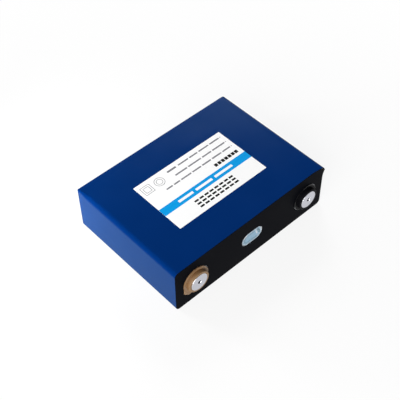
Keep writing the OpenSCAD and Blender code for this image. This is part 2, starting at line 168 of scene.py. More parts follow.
class CellTerminalSettings(PropertyGroup):
    """Sizes and colours of the terminal discs and their insulators."""
    negative: colour_setting("Negative insulator", "Colour of the tan insulator", "#886a4a")
    positive: colour_setting("Positive insulator", "Colour of the black insulator", "#0f0f12")
    disc_edge: length_setting("Disc edge", "Rounding of the terminal disc's edge", 0.2)
    locating_diameter: length_setting("Locating hole", "Diameter of the hole in the terminal disc", 3.5)
    locating_depth: length_setting("Hole depth", "Depth of the hole in the terminal disc", 1.2)
    flange_diameter: length_setting("Flange diameter", "Diameter of the insulator's flange", 26.6)
    flange_rise: length_setting("Flange rise", "Height of the flange above the terminal face", 0.8)
    ring_diameter: length_setting("Ring diameter", "Diameter of the raised ring at its root", 21.8)
    ring_draft: length_setting("Ring draft", "Draft of the raised ring, per side", 0.3)
    edge: length_setting("Moulded edge", "Rounding of the flange and the ring", 0.5)
    key_angle: FloatProperty(
        name="Key direction", description="Direction of the negative side's key corner, from +X towards +Z",
        unit="ROTATION", default=math.radians(-132))
    key_width: length_setting("Key width", "Width of the key corner's blunt end", 6.4)
    key_reach: length_setting("Key reach", "Reach of the key corner from the terminal's axis", 15.8)
    key_drop: length_setting("Key drop", "How far the key corner's top stays below the flange's", 0.2)
    key_bite: length_setting("Key bite", "How deep the key corner's sides cut into the flange's round", 0.3)


class CellVentSettings(PropertyGroup):
    """Sizes and colour of the vent disc and the clear film over it."""
    film_colour: colour_setting("Film tint", "Tint of the clear film", "#a8d0ea")
    rim: length_setting("Rim width", "Width of the vent disc's rim", 1.8)
    dish: length_setting("Dish depth", "Depth of the bursting foil below the rim", 0.9)
    score: length_setting("Score width", "Width of the score line in the foil", 0.6)
    score_depth: length_setting("Score depth", "Depth of the score line in the foil", 0.12)
    sag: length_setting("Film sag", "How far the clear film dips over the dish", 0.25)


class CellStageSettings(PropertyGroup):
    """Camera, floor and lights of the studio."""
    camera_place: FloatVectorProperty(
        name="Camera place", description="Where the camera stands", subtype="TRANSLATION",
        default=(-344.4 * MM, -378.8 * MM, 604.0 * MM))
    camera_target: FloatVectorProperty(
        name="Camera target", description="Point that the camera looks at", subtype="TRANSLATION",
        default=(-4.6 * MM, -2.5 * MM, 24 * MM))
    camera_roll: FloatProperty(
        name="Camera roll", description="Roll of the camera", unit="ROTATION",
        default=math.radians(-0.87))
    lens: FloatProperty(
        name="Lens", description=f"Focal length on a {SENSOR_MM} mm sensor", unit="CAMERA", default=79.34)
    floor_colour: colour_setting("Floor colour", "Colour of the studio floor", "#dcdcdc")
    key_power: power_setting("Key light", "Power of the large light on the left", 94)
    rear_power: power_setting("Rear light", "Power of the light that the upper face mirrors", 17.2)
    fill_power: power_setting("Fill light", "Power of the small light beside the left face", 0.46)


# Materials

def add_node(tree, kind, values):
    """Add one node: a lower-case key is a property, any other an input that is set or linked."""
    node = tree.nodes.new(kind)
    for key, value in values.items():
        if isinstance(key, str) and key.islower():
            setattr(node, key, value)
        elif isinstance(value, bpy.types.NodeSocket):
            tree.links.new(value, node.inputs[key])
        else:
            node.inputs[key].default_value = value
    return node


def new_material(name):
    """Empty material, its node tree and the Object coordinates that its patterns read."""
    material = bpy.data.materials.new(name)
    material.use_nodes = True
    tree = material.node_tree
    tree.nodes.clear()
    place = add_node(tree, "ShaderNodeTexCoord", {}).outputs["Object"]
    return material, tree, place


def shades(colour, spread):
    """Darker and lighter neighbour of a linear colour, as two RGBA values."""
    return [(*(min(channel * factor, 1) for channel in colour), 1) for factor in (1 - spread, 1 + spread)]


def tint_and_gloss(tree, pattern, colour, spread, smooth, rough):
    """Shader inputs for a colour and a roughness that both follow a pattern."""
    dark, light = shades(colour, spread)
    tint = add_node(tree, "ShaderNodeMix", {"data_type": "RGBA", 0: pattern, 6: dark, 7: light})
    gloss = add_node(tree, "ShaderNodeMapRange", {"Value": pattern, "To Min": smooth, "To Max": rough})
    return {"Base Color": tint.outputs[2], "Roughness": gloss.outputs["Result"]}


def finish_material(tree, inputs, relief=None, height=0):
    """Show a surface with these shader inputs, and with a relief as bumps of a height if one is given."""
    if relief is not None:
        skin = add_node(tree, "ShaderNodeBump", {"Height": relief, "Distance": height})
        inputs = {**inputs, "Normal": skin.outputs["Normal"]}
    shader = add_node(tree, "ShaderNodeBsdfPrincipled", inputs)
    add_node(tree, "ShaderNodeOutputMaterial", {"Surface": shader.outputs["BSDF"]})


def blue_polyester_film(colour):
    """Blue polyester film, extruded and glued on."""
    # A satin gloss that waves slowly where the glue holds, over a fine orange peel; the dye tints
    # what the film throws back, and a thin bloom of scuffs makes it paler where it is seen aslant
    material, tree, place = new_material("blue_polyester_film_extruded")
    slow = add_node(tree, "ShaderNodeTexNoise", {"Vector": place, "Scale": per_mm(30), "Detail": 1.0})
    peel = add_node(tree, "ShaderNodeTexNoise", {"Vector": place, "Scale": per_mm(1.2), "Detail": 2.0})
    looks = tint_and_gloss(tree, slow.outputs["Fac"], colour, spread=0.05, smooth=0.14, rough=0.2)
    wave = add_node(tree, "ShaderNodeBump", {"Height": slow.outputs["Fac"], "Distance": 0.2 * MM})
    skin = add_node(tree, "ShaderNodeBump", {
        "Height": peel.outputs["Fac"], "Distance": 0.006 * MM, "Normal": wave.outputs["Normal"]})
    finish_material(tree, {
        **looks, "IOR": 1.5, "Specular IOR Level": 0.024, "Specular Tint": (0, 0.5, 1, 1),
        "Sheen Weight": 0.22, "Sheen Roughness": 0.35, "Sheen Tint": (0.12, 0.6, 0.62, 1),
        "Normal": skin.outputs["Normal"]})
    return material


def coated_label_paper(colour):
    """White label stock, coated and calendered."""
    # A soft white with hardly any gloss and a faint cloudy fibre
    material, tree, place = new_material("coated_label_paper_calendered")
    fibre = add_node(tree, "ShaderNodeTexNoise", {"Vector": place, "Scale": per_mm(0.7), "Detail": 3.0})
    dark, light = shades(colour, spread=0.015)
    tint = add_node(tree, "ShaderNodeMix", {
        "data_type": "RGBA", 0: fibre.outputs["Fac"], 6: dark, 7: light})
    looks = {"Base Color": tint.outputs[2], "Roughness": 0.55, "IOR": 1.45}
    finish_material(tree, looks, fibre.outputs["Fac"], height=0.004 * MM)
    return material


def label_ink(name, colour):
    """Printing ink, laid by a roller."""
    # Flat colour with the slight mottle of a roller print
    material, tree, place = new_material(name)
    mottle = add_node(tree, "ShaderNodeTexNoise", {"Vector": place, "Scale": per_mm(1.5), "Detail": 2.0})
    looks = tint_and_gloss(tree, mottle.outputs["Fac"], colour, spread=0.06, smooth=0.42, rough=0.52)
    finish_material(tree, {**looks, "IOR": 1.45, "Specular IOR Level": 0.03})
    return material


def black_sheet_plastic():
    """Black polycarbonate sheet, embossed to a fine matt grain."""
    # Nearly black and matt, a little greyer where the grain catches the light;
    # the 0.1 mm grain is drawn at 0.5 mm so that it shows
    material, tree, place = new_material("black_polycarbonate_sheet_embossed")
    grain = add_node(tree, "ShaderNodeTexNoise", {"Vector": place, "Scale": per_mm(0.5), "Detail": 2.0})
    cloud = add_node(tree, "ShaderNodeTexNoise", {"Vector": place, "Scale": per_mm(25), "Detail": 1.0})
    looks = tint_and_gloss(
        tree, cloud.outputs["Fac"], linear("#07080d"), spread=0.12, smooth=0.5, rough=0.6)
    finish_material(
        tree, {**looks, "IOR": 1.5, "Specular IOR Level": 0.016}, grain.outputs["Fac"], height=0.012 * MM)
    return material


def turned_aluminium(name, centre):
    """Aluminium faced on a lathe round the given axis."""
    # Bright metal with fine rings; the 0.1 mm feed is drawn at 0.5 mm so that it shows
    material, tree, place = new_material(name)
    centred = add_node(tree, "ShaderNodeMapping", {
        "vector_type": "POINT", "Vector": place, "Location": (-centre.x, 0, -centre.z)})
    rings = add_node(tree, "ShaderNodeTexWave", {
        "wave_type": "RINGS", "rings_direction": "Y", "Vector": centred.outputs["Vector"],
        "Scale": per_wave(0.5), "Distortion": 0.4, "Detail": 1.0})
    haze = add_node(tree, "ShaderNodeTexNoise", {"Vector": place, "Scale": per_mm(3), "Detail": 3.0})
    looks = tint_and_gloss(
        tree, haze.outputs["Fac"], linear("#c7c8d0"), spread=0.05, smooth=0.28, rough=0.42)
    finish_material(tree, {**looks, "Metallic": 1.0}, rings.outputs["Fac"], height=0.008 * MM)
    return material


def rolled_metal(name, hex_colour, roughness):
    """Metal that was rolled, drawn or cut, with its grain along the cell's height."""
    # Dull metal with streaks that run one way, thirty times longer than they are wide
    stretch, vary = 30, 0.08
    material, tree, place = new_material(name)
    drawn = add_node(tree, "ShaderNodeMapping", {"Vector": place, "Scale": (1, 1 / stretch, 1)})
    streak = add_node(tree, "ShaderNodeTexNoise", {
        "Vector": drawn.outputs["Vector"], "Scale": per_mm(0.8), "Detail": 3.0})
    looks = tint_and_gloss(
        tree, streak.outputs["Fac"], linear(hex_colour), spread=0.08, smooth=roughness - vary,
        rough=roughness + vary)
    finish_material(tree, {**looks, "Metallic": 1.0}, streak.outputs["Fac"], height=0.01 * MM)
    return material


def filled_plastic(name, colour, roughness, shine):
    """Glass-filled engineering plastic, injection moulded."""
    # Satin plastic with cloudy flow marks and a fine speckle of fibre ends, and painted shade, darker
    # and warmer, where the attribute skin, from 0 to 1, is high: in the ring's root and on the flange's edge
    speck_share = 0.35
    painted_shade_level, painted_shade_warmth = 0.62, 0.4
    material, tree, place = new_material(name)
    flow = add_node(tree, "ShaderNodeTexNoise", {
        "Vector": place, "Scale": per_mm(5), "Detail": 2.0, "Distortion": 1.5})
    speck = add_node(tree, "ShaderNodeTexNoise", {"Vector": place, "Scale": per_mm(0.4), "Detail": 2.0})
    mixed = add_node(tree, "ShaderNodeMix", {
        "data_type": "FLOAT", 0: speck_share, 2: flow.outputs["Fac"], 3: speck.outputs["Fac"]})
    dark, light = shades(colour, spread=0.16)
    tint = add_node(tree, "ShaderNodeMix", {
        "data_type": "RGBA", 0: mixed.outputs[0], 6: dark, 7: light})
    # Painted shade: the colour darkens and warms where the attribute skin is high
    thick = add_node(tree, "ShaderNodeAttribute", {"attribute_name": "skin"})
    peak = max(colour)
    painted_shade_colour = (*(painted_shade_level * channel * (channel / peak) ** painted_shade_warmth for channel in colour), 1)
    with_painted_shade = add_node(tree, "ShaderNodeMix", {
        "data_type": "RGBA", 0: thick.outputs["Fac"], 6: tint.outputs[2], 7: painted_shade_colour})
    gloss = add_node(tree, "ShaderNodeMapRange", {
        "Value": flow.outputs["Fac"], "To Min": roughness - 0.05, "To Max": roughness + 0.08})
    looks = {
        "Base Color": with_painted_shade.outputs[2], "Roughness": gloss.outputs["Result"], "IOR": 1.5,
        "Specular IOR Level": shine}
    finish_material(tree, looks, speck.outputs["Fac"], height=0.01 * MM)
    return material


def clear_tinted_film(colour):
    """Clear polyester film with a blue tint, die cut and laid on."""
    # The metal shows through a thin blue veil on which the attribute haze, from 0, dark, to 1, pale,
    # paints highlights, a reflected streak and shade, and paleness where it is glued; a wet gloss with
    # slack waves lies over it
    material, tree, place = new_material("clear_polyester_film_tinted")
    slack = add_node(tree, "ShaderNodeTexNoise", {"Vector": place, "Scale": per_mm(6), "Detail": 1.0})
    haze = add_node(tree, "ShaderNodeAttribute", {"attribute_name": "haze"})
    veil = add_node(tree, "ShaderNodeValToRGB", {"Fac": haze.outputs["Fac"]})
    stops = veil.color_ramp.elements
    # Painted shade at the dark stop; painted highlights and the glue's paleness at the white stop
    stops[0].color = (*linear("#4c727a"), 1)
    stops[1].color = (*linear("#ffffff"), 1)
    stops.new(0.5).color = (*colour, 1)
    looks = {
        "Base Color": veil.outputs["Color"], "Roughness": 0.12, "IOR": 1.57, "Alpha": 0.6,
        "Specular IOR Level": 0.2}
    finish_material(tree, looks, slack.outputs["Fac"], height=0.1 * MM)
    return material


def soft_polymer(name, hex_colour, roughness, grain_mm):
    """Unfilled plastic, rubber, tape or bag film inside the cell, moulded or extruded."""
    # Even colour with a cloudy grain of the given size and a dull or waxy surface
    vary = 0.05
    material, tree, place = new_material(name)
    grain = add_node(tree, "ShaderNodeTexNoise", {
        "Vector": place, "Scale": per_mm(grain_mm), "Detail": 2.0})
    looks = tint_and_gloss(
        tree, grain.outputs["Fac"], linear(hex_colour), spread=0.06, smooth=roughness - vary,
        rough=roughness + vary)
    finish_material(tree, {**looks, "IOR": 1.49}, grain.outputs["Fac"], height=0.01 * MM)
    return material


def wound_electrode():
    """Coated electrode foils and separator, wound flat."""
    # Thin dark and pale layers side by side across the thickness; drawn at 1.2 mm so that they show
    material, tree, place = new_material("coated_electrode_wound")
    layers = add_node(tree, "ShaderNodeTexWave", {
        "wave_type": "BANDS", "bands_direction": "Z", "Vector": place,
        "Scale": per_wave(1.2), "Distortion": 0.3})
    tint = add_node(tree, "ShaderNodeMix", {
        "data_type": "RGBA", 0: layers.outputs["Fac"],
        6: (*linear("#2b2d31"), 1), 7: (*linear("#8d9094"), 1)})
    looks = {"Base Color": tint.outputs[2], "Roughness": 0.7}
    finish_material(tree, looks, layers.outputs["Fac"], height=0.05 * MM)
    return material


def painted_floor(colour, near, far):
    """Board with matt paint: pale grey for the light it throws back, white where it is seen or mirrored."""
    # Matt and nearly white: a faint shadow shows within near of the middle and is gone at far
    material, tree, place = new_material("painted_board_matt")
    distance = add_node(tree, "ShaderNodeVectorMath", {"operation": "LENGTH", 0: place})
    white_share = add_node(tree, "ShaderNodeMapRange", {
        "interpolation_type": "SMOOTHSTEP", "Value": distance.outputs["Value"],
        "From Min": near, "From Max": far, "To Min": 0.84, "To Max": 1.0})
    path = add_node(tree, "ShaderNodeLightPath", {})
    mirrored = add_node(tree, "ShaderNodeMath", {
        "operation": "MAXIMUM", 0: path.outputs["Is Glossy Ray"], 1: path.outputs["Is Transmission Ray"]})
    seen = add_node(tree, "ShaderNodeMath", {
        "operation": "MAXIMUM", 0: path.outputs["Is Camera Ray"], 1: mirrored.outputs["Value"]})
    grey = add_node(tree, "ShaderNodeBsdfDiffuse", {"Color": (*colour, 1)})
    pale = add_node(tree, "ShaderNodeBsdfDiffuse", {"Color": (0.95, 0.95, 0.95, 1)})
    white = add_node(tree, "ShaderNodeEmission", {"Color": (1, 1, 1, 1), "Strength": 1.0})
    eye = add_node(tree, "ShaderNodeMixShader", {
        0: white_share.outputs["Result"], 1: pale.outputs["BSDF"], 2: white.outputs["Emission"]})
    top = add_node(tree, "ShaderNodeMixShader", {
        0: seen.outputs["Value"], 1: grey.outputs["BSDF"], 2: eye.outputs["Shader"]})
    below = add_node(tree, "ShaderNodeBsdfTransparent", {})
    side = add_node(tree, "ShaderNodeNewGeometry", {})
    surface = add_node(tree, "ShaderNodeMixShader", {
        0: side.outputs["Backfacing"], 1: top.outputs["Shader"], 2: below.outputs["BSDF"]})
    add_node(tree, "ShaderNodeOutputMaterial", {"Surface": surface.outputs["Shader"]})
    return material


# Mesh building

def rounded_ring(half_w, half_h, radius, corners=None):
    """Outline of a rounded rectangle as (across, up) pairs, with extra pairs that keep its flats flat.

    The dictionary corners gives single corners a radius of their own: 0 is upper right, 1 upper left.
    """
    ring = []
    for quarter, (sx, sy) in enumerate(((1, 1), (-1, 1), (-1, -1), (1, -1))):
        r = (corners or {}).get(quarter, radius)
        before, after = half_h - r, half_w - r
        if quarter % 2:
            before, after = after, before
        corner = Vector((sx * (half_w - r), sy * (half_h - r)))
        arc = []
        for step in range(ARC_STEPS + 1):
            angle = math.pi / 2 * (quarter + step / ARC_STEPS)
            arc.append(corner + r * Vector((math.cos(angle), math.sin(angle))))
        start, end = math.pi / 2 * quarter, math.pi / 2 * (quarter + 1)
        if before > HOLD:
            arc.insert(0, arc[0] - HOLD * Vector((-math.sin(start), math.cos(start))))
        if after > HOLD:
            arc.append(arc[-1] + HOLD * Vector((-math.sin(end), math.cos(end))))
        ring += [tuple(point) for point in arc]
    return ring


def quarter_round(centre_out, centre_up, radius, first, last):
    """Pairs along an arc of a profile between two angles in degrees."""
    pairs = []
    for step in range(ROUND_STEPS + 1):
        angle = math.radians(first + (last - first) * step / ROUND_STEPS)
        pairs.append((centre_out + radius * math.cos(angle), centre_up + radius * math.sin(angle)))
    return pairs


def loft(bm, rings, closed=False):
    """Skin over rings with equal counts of points; the two ends are filled, or joined if closed."""
    loops = [[bm.verts.new(point) for point in ring] for ring in rings]
    pairs = list(zip(loops, loops[1:]))
    if closed:
        pairs.append((loops[-1], loops[0]))
    else:
        bm.faces.new(loops[0][::-1])
        bm.faces.new(loops[-1])
    count = len(loops[0])
    for low, high in pairs:
        for i in range(count):
            j = (i + 1) % count
            bm.faces.new((low[i], low[j], high[j], high[i]))


def film_sheet(bm, columns, rows, surface):
    """Closed sheet as thick as the film: surface gives its points over the unit square, lifted or not."""
    grids = []
    for lift in (FILM, 0):
        grids.append([[bm.verts.new(surface(i / columns, j / rows, lift)) for j in range(rows + 1)]
                      for i in range(columns + 1)])
    for grid in grids:
        for i in range(columns):
            for j in range(rows):
                bm.faces.new((grid[i][j], grid[i + 1][j], grid[i + 1][j + 1], grid[i][j + 1]))
    border = [(i, 0) for i in range(columns)] + [(columns, j) for j in range(rows)]
    border += [(i, rows) for i in range(columns, 0, -1)] + [(0, j) for j in range(rows, 0, -1)]
    for (i, j), (k, m) in zip(border, border[1:] + border[:1]):
        bm.faces.new((grids[0][i][j], grids[0][k][m], grids[1][k][m], grids[1][i][j]))


def closed_mesh(name, bm):
    """Plain mesh with its doubles merged and its faces outwards."""
    bmesh.ops.remove_doubles(bm, verts=bm.verts, dist=MERGE_GAP)
    bmesh.ops.recalc_face_normals(bm, faces=bm.faces)
    mesh = bpy.data.meshes.new(name)
    bm.to_mesh(mesh)
    bm.free()
    return mesh


def lofted_mesh(name, rings, closed=False):
    """Plain mesh of one lofted shape."""
    bm = bmesh.new()
    loft(bm, rings, closed)
    return closed_mesh(name, bm)


def new_object(name, data):
    """Object that puts the data in the scene."""
    thing = bpy.data.objects.new(name, data)
    bpy.context.scene.collection.objects.link(thing)
    return thing


def evaluated_mesh(carrier):
    """Plain mesh of what an object evaluates to; the object itself is removed."""
    graph = bpy.context.evaluated_depsgraph_get()
    mesh = bpy.data.meshes.new_from_object(carrier.evaluated_get(graph), depsgraph=graph)
    bpy.data.objects.remove(carrier)
    return mesh


def place_piece(name, mesh, material, slot, *nodes):
    """Put a finished mesh in the scene as a piece that rides on the cell and stands for the nodes."""
    if material:
        mesh.materials.clear()
        mesh.materials.append(material)
    mesh.shade_smooth()
    mesh.set_sharp_from_angle(angle=SHARP_ANGLE)
    piece = new_object(name, mesh)
    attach(piece, BODY)
    if nodes:
        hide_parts(*nodes)


def on_face(across, rise, up):
    """Point at a distance out from the terminal face, from the middle of that face."""
    return across, FACE_Y - rise, MID_Z + up


def lift_corner(bm, lift):
    """Bend up what lies at the terminal face in the sheet's loose corner."""
    diagonal = Vector((1, 0, 1)).normalized()
    cut = LOOSE_RADIUS * (1 - math.sqrt(0.5))
    start = Vector((sheet_high.x - cut, FACE_Y, sheet_high.z - cut)) - LOOSE_REACH * diagonal
    bends = 7
    for step in range(bends):
        everything = bm.verts[:] + bm.edges[:] + bm.faces[:]
        bmesh.ops.bisect_plane(
            bm, geom=everything, dist=MERGE_GAP, plane_co=start + diagonal * LOOSE_REACH * step / bends,
            plane_no=diagonal)
    for vert in bm.verts:
        beyond = (vert.co - start).dot(diagonal) / LOOSE_REACH
        if beyond > 0 and vert.co.y < FACE_Y + SHEET + HOLD / 2:
            vert.co.y -= lift * beyond * beyond


# Wrapping film

def sleeve_profile(wrap, inset):
    """Insets and places along the cell of one wall of the sleeve, from the foot to the mouth."""
    foot_y = film_high.y - 2 * FILM - inset
    radius = wrap.foot_radius - inset
    fold_steps, lead = 10, 0.1
    profile = [(wrap.foot_radius + HOLD, foot_y)]
    profile += [(wrap.foot_radius - out, foot_y - radius + up)
                for out, up in quarter_round(0, 0, radius, 90, 0)]
    profile += [(inset, foot_y - radius - wrap.fold_length * (step + lead) / fold_steps)
                for step in range(fold_steps + 1)]
    profile += [(inset, film_low.y + HOLD), (inset, film_low.y)]
    return profile


def corner_radius(wrap, y):
    """Radius of the sleeve's upper corner at -X: that of the can, but sharper where the film is folded."""
    start = film_high.y - wrap.foot_radius - wrap.fold_length
    share = smooth_step((y - start) / wrap.fold_length)
    return wrap.edge_radius + (wrap.fold_radius - wrap.edge_radius) * share


def add_sleeve(bm, wrap):
    """Tube round the can with a closed foot and a cut edge at the lid."""
    least = 0.2 * MM
    rings = []
    for inset, y in sleeve_profile(wrap, 0) + sleeve_profile(wrap, FILM)[::-1]:
        folded = max(corner_radius(wrap, y) - inset, least)
        outline = rounded_ring(HALF_W - inset, HALF_T - inset, wrap.edge_radius - inset, {1: folded})
        rings.append([(u, y, MID_Z + v) for u, v in outline])
    loft(bm, rings)


def add_flap(bm, wrap, side, step_up):
    """Flap folded over the foot from one broad face, with a slack surface between its glue lines."""
    foot_y = film_high.y - 2 * FILM
    fold = HALF_T - wrap.foot_radius
    depth = fold + wrap.flap_lap / 2
    half = HALF_W - wrap.edge_radius
    ramp = 2 * MM
    # Size of the slack's humps across and down, and the slice of the noise that they come from
    hump_u, hump_v, hump_slice = 21 * MM, 9 * MM, 7.3 * side
    mean_hump, glue_width = 0.5, 0.25

    def surface(s, t, lift):
        across = (2 * s - 1) * (half - depth * t)
        down = depth * t
        climb = smooth_step((down - fold + wrap.flap_lap / 2) / ramp + 1) * step_up
        free = math.sin(math.pi * t) * math.sin(math.pi * s) ** glue_width
        hump = mean_hump + noise.noise((across / hump_u, down / hump_v, hump_slice))
        y = foot_y + climb + lift + wrap.puff * max(hump, 0) * free
        return across, y, MID_Z + side * (fold - down)

    film_sheet(bm, *FLAP_GRID, surface)


def add_seam(bm, wrap):
    """Glued overlap of the film along the narrow side at +X."""
    start = film_low.y
    along = film_high.y - 2 * FILM - wrap.foot_radius - start
    ripple, ripple_slice = 15 * MM, (2.1, 0.4)

    def surface(s, t, lift):
        y = start + along * s
        up = (t - 0.5) * wrap.seam_width
        loose = FILM * max(noise.noise((y / ripple, *ripple_slice)), 0) * smooth_step(2 * t - 1)
        return HALF_W + lift + loose * (lift > 0), y, MID_Z + up

    film_sheet(bm, *SEAM_GRID, surface)


class CELL_OT_wrap(Operator):
    """Wrap the can in blue film, folded over the foot and glued along one narrow side."""
    bl_idname = "cell.build_wrap"
    bl_label = "Wrapping film"

    def execute(self, context):
        wrap = context.scene.cell_wrap
        bm = bmesh.new()
        add_sleeve(bm, wrap)
        lift_corner(bm, MOUTH_LIFT)
        add_flap(bm, wrap, side=-1, step_up=0)
        add_flap(bm, wrap, side=1, step_up=FILM)
        add_seam(bm, wrap)
        mesh = closed_mesh("film_wrap", bm)
        place_piece("film_wrap", mesh, blue_polyester_film(wrap.colour), "blue_film", "wrapping_film")
        return {"FINISHED"}


# Label

def plate_rings(centre, half_w, half_h, radius, low, high):
    """Rings of a thin plate with rounded corners that lies on the label side."""
    edge = min(0.03 * MM, (high - low) / 3)
    rings = []
    for inset, z in ((0, low), (0, high - edge), (edge, high)):
        outline = rounded_ring(half_w - inset, half_h - inset, radius - inset)
        rings.append([(centre.x + u, centre.y + v, z) for u, v in outline])
    return rings


def printed_outline(bm, centre, half, radius, stroke, low, high):
    """Printed line round a square or, with a radius as large as its half, a circle."""
    rings = []
    for inset, z in ((0, low), (0, high), (stroke, high), (stroke, low)):
        outline = rounded_ring(half - inset, half - inset, radius - inset)
        rings.append([(centre.x + u, centre.y + v, z) for u, v in outline])
    loft(bm, rings, closed=True)


def printed_row_tree():
    """Geometry Nodes tree that adds one row of plain bars of random length, from right to left."""
    tree = bpy.data.node_groups.new("printed_row", "GeometryNodeTree")
    sockets = (
        ("Geometry", "NodeSocketGeometry"), ("Start", "NodeSocketVector"), ("Bars", "NodeSocketInt"),
        ("Shortest", "NodeSocketFloat"), ("Longest", "NodeSocketFloat"), ("Gap", "NodeSocketFloat"),
        ("Bar Height", "NodeSocketFloat"), ("Ink Height", "NodeSocketFloat"), ("Seed", "NodeSocketInt"),
        ("Ink", "NodeSocketMaterial"))
    for name, kind in sockets:
        tree.interface.new_socket(name, in_out="INPUT", socket_type=kind)
    tree.interface.new_socket("Geometry", in_out="OUTPUT", socket_type="NodeSocketGeometry")
    given = add_node(tree, "NodeGroupInput", {}).outputs
    line = add_node(tree, "GeometryNodeMeshLine", {"Count": given["Bars"], "Offset": (0, 0, 0)})
    length = add_node(tree, "FunctionNodeRandomValue", {
        "data_type": "FLOAT", 2: given["Shortest"], 3: given["Longest"], 8: given["Seed"]}).outputs[1]
    step = add_node(tree, "ShaderNodeMath", {"operation": "ADD", 0: length, 1: given["Gap"]})
    before = add_node(tree, "GeometryNodeAccumulateField", {
        "data_type": "FLOAT", "Value": step.outputs["Value"]})
    middle = add_node(tree, "ShaderNodeMath", {
        "operation": "MULTIPLY_ADD", 0: length, 1: 0.5, 2: before.outputs["Trailing"]})
    left = add_node(tree, "ShaderNodeMath", {"operation": "MULTIPLY", 0: middle.outputs["Value"], 1: -1.0})
    shift = add_node(tree, "ShaderNodeCombineXYZ", {"X": left.outputs["Value"]})
    place = add_node(tree, "ShaderNodeVectorMath", {
        "operation": "ADD", 0: given["Start"], 1: shift.outputs["Vector"]})
    size = add_node(tree, "ShaderNodeCombineXYZ", {
        "X": length, "Y": given["Bar Height"], "Z": given["Ink Height"]})
    stored = add_node(tree, "GeometryNodeStoreNamedAttribute", {
        "data_type": "FLOAT_VECTOR", "domain": "POINT", "Geometry": line.outputs["Mesh"],
        "Name": "bar_size", "Value": size.outputs["Vector"]})
    spread = add_node(tree, "GeometryNodeSetPosition", {
        "Geometry": stored.outputs["Geometry"], "Position": place.outputs["Vector"]})
    bar = add_node(tree, "GeometryNodeMeshCube", {"Size": (1, 1, 1)})
    kept = add_node(tree, "GeometryNodeInputNamedAttribute", {
        "data_type": "FLOAT_VECTOR", "Name": "bar_size"})
    bars = add_node(tree, "GeometryNodeInstanceOnPoints", {
        "Points": spread.outputs["Geometry"], "Instance": bar.outputs["Mesh"],
        "Scale": kept.outputs["Attribute"]})
    real = add_node(tree, "GeometryNodeRealizeInstances", {"Geometry": bars.outputs["Instances"]})
    inked = add_node(tree, "GeometryNodeSetMaterial", {
        "Geometry": real.outputs["Geometry"], "Material": given["Ink"]})
    both = add_node(tree, "GeometryNodeJoinGeometry", {"Geometry": given["Geometry"]})
    tree.links.new(inked.outputs["Geometry"], both.inputs["Geometry"])
    add_node(tree, "NodeGroupOutput", {"Geometry": both.outputs["Geometry"]})
    return tree


def label_rows(inks):
    """Rows of plain bars on the label, in millimetres from its middle: each a set of tree inputs."""
    rows = []

    def row(right, up, bars, shortest, longest, gap, height, ink):
        rows.append({
            "Start": (right * MM, up * MM), "Bars": bars, "Shortest": shortest * MM,
            "Longest": longest * MM, "Gap": gap * MM, "Bar Height": height * MM, "Ink": inks[ink]})

    for up in (-16.8, -20.5, -24.2):
        row(22.0, up, 8, 4.3, 4.3, 1.35, 1.9, "heavy")
    row(30.3, -7.5, 3, 16.0, 22.0, 3.2, 2.6, "white")
    row(46.0, 1.9, 7, 3.2, 3.2, 0.8, 3.4, "heavy")
    for up, bars, shortest, longest in ((9.8, 7, 4.0, 13.0), (17.0, 4, 10.0, 16.0), (24.4, 4, 7.0, 12.0)):
        row(46.6, up, 1, 0.9, 0.9, 0, 0.9, "fine")
        row(44.6, up, bars, shortest, longest, 1.5, 1.5, "fine")
    row(-6.5, 24.4, 1, 10.0, 10.0, 0, 1.9, "fine")
    return rows


def printed_rows(label, centre, low, inks):
    """Mesh of all the rows of bars, each made by its own pass of the tree."""
    tree = printed_row_tree()
    sockets = {item.name: item.identifier for item in tree.interface.items_tree
               if item.in_out == "INPUT"}
    carrier = new_object("label_print_rows", bpy.data.meshes.new("label_print_rows"))
    for number, row in enumerate(label_rows(inks)):
        modifier = carrier.modifiers.new(f"row_{number}", "NODES")
        modifier.node_group = tree
        right, up = row.pop("Start")
        on_band = row["Ink"] is inks["white"]
        level = low + (label.ink_height if on_band else 0) + label.ink_height / 2
        modifier[sockets["Start"]] = (centre.x + right, centre.y + up, level)
        modifier[sockets["Ink Height"]] = label.ink_height
        modifier[sockets["Seed"]] = label.seed + number
        for name, value in row.items():
            modifier[sockets[name]] = value
    mesh = evaluated_mesh(carrier)
    if not mesh.polygons:
        raise RuntimeError("the label's bars came out empty")
    return mesh


def printed_frames(centre, low, high):
    """Mesh of a square and a round frame, each with a smaller one inside."""
    half, stroke, up = 5 * MM, 0.45 * MM, 20.7 * MM
    inner = 0.62
    bm = bmesh.new()
    for across, radius in ((-41.9 * MM, 0.8 * MM), (-28.4 * MM, half)):
        spot = Vector((centre.x + across, centre.y + up))
        printed_outline(bm, spot, half, radius, stroke, low, high)
        printed_outline(bm, spot, half * inner, radius * inner, stroke, low, high)
    return closed_mesh("label_frames", bm)


class CELL_OT_label(Operator):
    """Lay the label on the upper face, with a coloured band and plain bars for print."""
    bl_idname = "cell.build_label"
    bl_label = "Label"

    def execute(self, context):
        label = context.scene.cell_label
        centre = (label_low + label_high) / 2
        half_w = (label_high.x - label_low.x) / 2
        half_h = (label_high.y - label_low.y) / 2
        top = label_high.z
        printed = top + label.ink_height
        band_corner = 0.05 * MM
        rings = plate_rings(centre, half_w, half_h, label.corner, label_low.z, top)
        mesh = lofted_mesh("label_paper", rings)
        place_piece("label_paper", mesh, coated_label_paper(label.paper), "label_paper", "rating_label")
        middle = Vector((centre.x, label_low.y + label.band_offset + label.band_width / 2))
        rings = plate_rings(middle, half_w, label.band_width / 2, band_corner, top, printed)
        mesh = lofted_mesh("label_band", rings)
        place_piece("label_band", mesh, label_ink("printing_ink_blue_rolled", label.band), "label_paper")
        inks = {
            "heavy": label_ink("printing_ink_black_rolled", label.ink),
            "fine": label_ink("printing_ink_grey_rolled", label.fine_ink),
            "white": label_ink("printing_ink_white_rolled", label.paper)}
        place_piece("label_bars", printed_rows(label, centre, top, inks), None, "label_paper")
        place_piece("label_frames", printed_frames(centre, top, printed), inks["fine"], "label_paper")
        return {"FINISHED"}


# Cover sheet

